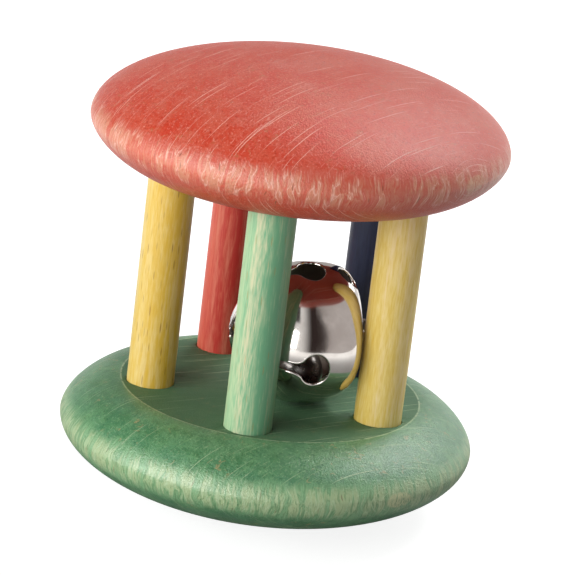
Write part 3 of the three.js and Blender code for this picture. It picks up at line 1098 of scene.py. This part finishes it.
class RATTLE_OT_bell(bpy.types.Operator):
    """Press the bell's shell with its slots and holes, and bend its eyelet"""

    bl_idname = "rattle.bell"
    bl_label = "Bell"

    def execute(self, context):
        sizes, tints = context.scene.rattle_sizes, context.scene.rattle_colours
        plate = metal_material(
            "nickel plate", tints.nickel, tints.inside, smooth=0.06, rough=0.12, peel=0.15
        )
        dull = metal_material(
            "dull plate inside", tints.inside, tints.steel, smooth=0.42, rough=0.58, peel=0.3
        )
        strap = metal_material(
            "plate on the strap", tints.nickel, tints.inside, smooth=0.28, rough=0.4, peel=0.3
        )
        for name, node, form, finish in (
            ("bell_pressing", "bell_shell", self.shell(sizes), [plate, dull]),
            ("bell_loop", "bell_eyelet", self.eyelet(sizes), [strap]),
        ):
            move(form, bell_place(sizes))
            finish_piece(name, form, finish, "bell", node)
        return {"FINISHED"}

    def shell(self, sizes):
        along_y = slot_cutter(sizes)
        along_x = along_y.copy()
        move(along_x, QUARTER_TURN)
        cutters = [
            bell_body(sizes, sizes.bell_sheet),
            along_y,
            along_x,
            shoulder_hole_cutter(sizes, 1),
            shoulder_hole_cutter(sizes, -1),
            self.strap_cutter(sizes),
        ]
        form = carved(bell_body(sizes, 0.0), cutters)
        mark_inside(form, sizes)
        lip = sizes.bell_sheet * LIP_SHARE
        for path in (petal_edge(sizes), shoulder_hole_edge(sizes, 1), shoulder_hole_edge(sizes, -1)):
            add_bead(form, path, lip)
        return form

    def strap_cutter(self, sizes):
        """Opening in the closed end that the eyelet's strap goes through."""
        wide = sizes.eyelet_width + 2 * sizes.eyelet_gap
        deep = 2 * (sizes.eyelet_bore + sizes.eyelet_sheet + sizes.eyelet_gap)
        size = Vector((wide, deep, 2 * OVERRUN))
        cutter = bmesh.new()
        bmesh.ops.create_cube(cutter, size=1.0)
        move(cutter, Matrix.LocRotScale(Vector((0, 0, sizes.bell_closed_length)), None, size))
        return cutter

    def eyelet(self, sizes):
        form = extruded(eyelet_outline(sizes), sizes.eyelet_width)
        move(form, QUARTER_TURN)
        sharp = [edge for edge in form.edges if edge.calc_face_angle(0.0) > STRAP_CORNER]
        soften(form, sharp, sizes.eyelet_ease)
        return form


class RATTLE_OT_pellet(bpy.types.Operator):
    """Make the loose steel ball with its flash line"""

    bl_idname = "rattle.pellet"
    bl_label = "Pellet"

    def execute(self, context):
        sizes, tints = context.scene.rattle_sizes, context.scene.rattle_colours
        low, high = PELLET_BOX
        radius = (high.z - low.z) / 2
        steps = 3 * BEND_STEPS
        outline = []
        for step in range(steps + 1):
            turn = math.pi * (step / steps - 0.5)
            height = radius * math.sin(turn)
            on_belt = abs(height) < sizes.pellet_belt / 2
            depth = sizes.pellet_belt_depth if on_belt else 0.0
            across = 0.0 if step in (0, steps) else radius * math.cos(turn) - depth
            outline.append((across, height))
        form = spun(outline, DOWEL_STEPS)
        move(form, Matrix.Translation((low + high) / 2) @ PELLET_LEAN)
        steel = metal_material("bare steel", tints.steel, tints.inside, smooth=0.22, rough=0.34, peel=0.4)
        finish_piece("steel_pellet", form, [steel], "pellet", "bell_pellet")
        return {"FINISHED"}


# Studio


def toward(azimuth, height_angle, distance):
    """A place round the rattle's middle, by its azimuth from +X and its angle over the floor in degrees."""
    swing, rise = math.radians(azimuth), math.radians(height_angle)
    flat = distance * math.cos(rise)
    height = distance * math.sin(rise) + OVERALL_HEIGHT / 2
    return Vector((flat * math.cos(swing), flat * math.sin(swing), height))


def aimed(place):
    """Turn of a lamp or card at a place, so that it faces the rattle's middle."""
    return (Vector((0, 0, OVERALL_HEIGHT / 2)) - place).to_track_quat("-Z", "Y")


def looked_at(tree):
    """1 for the camera, for a reflection and for what is seen through something, else 0."""
    rays = add(tree, "ShaderNodeLightPath").outputs
    seen = calc(tree, "MAXIMUM", rays["Is Camera Ray"], rays["Is Glossy Ray"])
    return calc(tree, "MAXIMUM", seen, rays["Is Transmission Ray"])


def softbox(name, place, wide, tall, power):
    lamp = bpy.data.lights.new(name, "AREA")
    lamp.shape = "RECTANGLE"
    lamp.size, lamp.size_y, lamp.energy = wide, tall, power
    holder = bpy.data.objects.new(name, lamp)
    holder.matrix_world = Matrix.LocRotScale(place, aimed(place), None)
    bpy.context.scene.collection.objects.link(holder)


def reflected_card(name, place, wide, tall, shade, faded=0.0):
    """Flat card that only shows in shiny surfaces. A share of its width can fade to white on its left."""
    form = bmesh.new()
    bmesh.ops.create_grid(form, x_segments=1, y_segments=1, size=0.5)
    move(form, Matrix.LocRotScale(place, aimed(place), Vector((wide, tall, 1.0))))
    material, tree, shader = new_material(name)
    shader.inputs["Base Color"].default_value = (0.0, 0.0, 0.0, 1.0)
    shader.inputs["Specular IOR Level"].default_value = 0.0
    shader.inputs["Emission Strength"].default_value = 1.0
    sideways = aimed(place) @ Vector((1, 0, 0))
    across = distance_along(tree, add(tree, "ShaderNodeTexCoord").outputs["Object"], sideways)
    left = place.dot(sideways) - wide / 2
    shown = ease(tree, across, left, left + faded * wide) if faded else 1.0
    tree.links.new(blend_colour(tree, shown, WHITE, shade), shader.inputs["Emission Color"])
    card = new_object(name, form, [material])
    card.visible_camera = card.visible_diffuse = card.visible_shadow = card.visible_transmission = False


class RATTLE_OT_studio(bpy.types.Operator):
    """Set the camera, the soft lamps, the white room and the pale floor"""

    bl_idname = "rattle.studio"
    bl_label = "Studio"

    def execute(self, context):
        studio = context.scene.rattle_studio
        context.scene.view_settings.view_transform = "Standard"
        self.camera(context, studio)
        self.room(context, studio)
        self.floor(studio)
        # Azimuth and angle over the floor in degrees, then distance, width and height in metres
        softbox("window", toward(76, 48, 0.9), 0.24, 0.12, studio.window_power)
        softbox("front", toward(-112, 14, 0.8), 0.5, 0.4, studio.front_power)
        softbox("left", toward(-145, 18, 0.8), 0.5, 0.4, studio.left_power)
        softbox("top", toward(40, 54, 0.9), 0.26, 0.26, studio.top_power)
        softbox("edge", toward(42, 29, 0.8), 0.4, 0.34, studio.edge_power)
        # Cards that glow only in reflections, as painted reflections: a grey bounce card, a dark gap, a
        # dark ceiling, a grey wall and a dark wall
        reflected_card("bounce card", toward(-18, 10, 0.55), 0.86, 1.2, (0.62, 0.58, 0.57))
        reflected_card("dark gap", toward(-69, 15, 0.5), 0.38, 0.8, (0.04, 0.028, 0.026), 0.6)
        reflected_card("dark ceiling", toward(0, 90, 1.3), 3.4, 3.4, (0.06, 0.055, 0.05))
        reflected_card("grey wall", toward(104, 18, 1.25), 0.8, 0.9, (0.5, 0.48, 0.47))
        reflected_card("dark wall", toward(165, 20, 1.2), 1.6, 1.4, (0.06, 0.055, 0.05))
        return {"FINISHED"}

    def camera(self, context, studio):
        data = bpy.data.cameras.new("camera")
        data.lens = studio.camera_lens
        data.sensor_width = 36.0
        data.clip_end = 10.0
        camera = bpy.data.objects.new("camera", data)
        camera.matrix_world = (
            Matrix.Translation(studio.camera_place)
            @ Matrix.Rotation(studio.camera_turn, 4, "Z")
            @ Matrix.Rotation(math.pi / 2 - studio.camera_tilt, 4, "X")
            @ Matrix.Rotation(studio.camera_roll, 4, "Z")
        )
        context.scene.collection.objects.link(camera)
        context.scene.camera = camera

    def room(self, context, studio):
        """White for what looks at it straight or in a reflection, and a soft light for the rest."""
        world = bpy.data.worlds.new("room")
        world.use_nodes = True
        context.scene.world = world
        tree = world.node_tree
        lit = times(tree, looked_at(tree), 1.0 - studio.ambient)
        strength = calc(tree, "ADD", lit, studio.ambient)
        room = tree.nodes["Background"]
        room.inputs["Color"].default_value = paint(WHITE)
        tree.links.new(strength, room.inputs["Strength"])

    def floor(self, studio):
        form = bmesh.new()
        bmesh.ops.create_circle(form, cap_ends=True, segments=FLOOR_STEPS, radius=FLOOR_RADIUS)
        move(form, Matrix.Translation((0, 0, -FLOOR_DROP)))
        material, tree, shader = new_material("pale floor")
        shader.inputs["Base Color"].default_value = (0.34, 0.34, 0.34, 1.0)
        shader.inputs["Roughness"].default_value = 0.7
        shader.inputs["Emission Color"].default_value = paint(WHITE)
        from_middle = flat_length(tree, add(tree, "ShaderNodeTexCoord").outputs["Object"])
        rays = add(tree, "ShaderNodeLightPath").outputs
        far = times(tree, ease(tree, from_middle, 0.05, 0.2), 1.0 - studio.floor_lift)
        straight = times(tree, calc(tree, "ADD", far, studio.floor_lift), rays["Is Camera Ray"])
        indirect = calc(tree, "MAXIMUM", rays["Is Glossy Ray"], rays["Is Transmission Ray"])
        # In reflections the floor glows white only away from the rattle; near it the glow fades out as
        # painted shade under the rattle
        mirrored = times(tree, ease(tree, from_middle, 0.04, 0.2), indirect)
        tree.links.new(calc(tree, "ADD", straight, mirrored), shader.inputs["Emission Strength"])
        new_object("floor", form, [material])


class RATTLE_PT_panel(bpy.types.Panel):
    """Sizes, colours and steps of the rattle"""

    bl_idname = "RATTLE_PT_panel"
    bl_label = "Wooden Rattle"
    bl_space_type = "VIEW_3D"
    bl_region_type = "UI"
    bl_category = "Rattle"

    def draw(self, context):
        for operator in OPERATORS:
            self.layout.operator(operator.bl_idname)
        scene = context.scene
        for group in (scene.rattle_sizes, scene.rattle_colours, scene.rattle_studio):
            box = self.layout.box()
            for name in group.__annotations__:
                box.prop(group, name)


OPERATORS = (RATTLE_OT_studio, RATTLE_OT_discs, RATTLE_OT_dowels, RATTLE_OT_bell, RATTLE_OT_pellet)
CLASSES = (RattleSizes, RattleColours, RattleStudio, *OPERATORS, RATTLE_PT_panel)


def register():
    for item in CLASSES:
        bpy.utils.register_class(item)
    bpy.types.Scene.rattle_sizes = PointerProperty(type=RattleSizes)
    bpy.types.Scene.rattle_colours = PointerProperty(type=RattleColours)
    bpy.types.Scene.rattle_studio = PointerProperty(type=RattleStudio)


def unregister():
    del bpy.types.Scene.rattle_studio
    del bpy.types.Scene.rattle_colours
    del bpy.types.Scene.rattle_sizes
    for item in reversed(CLASSES):
        bpy.utils.unregister_class(item)


def main():
    register()
    bpy.ops.rattle.studio()
    bpy.ops.rattle.discs()
    bpy.ops.rattle.dowels()
    bpy.ops.rattle.bell()
    bpy.ops.rattle.pellet()


if __name__ == "__main__":
    main()
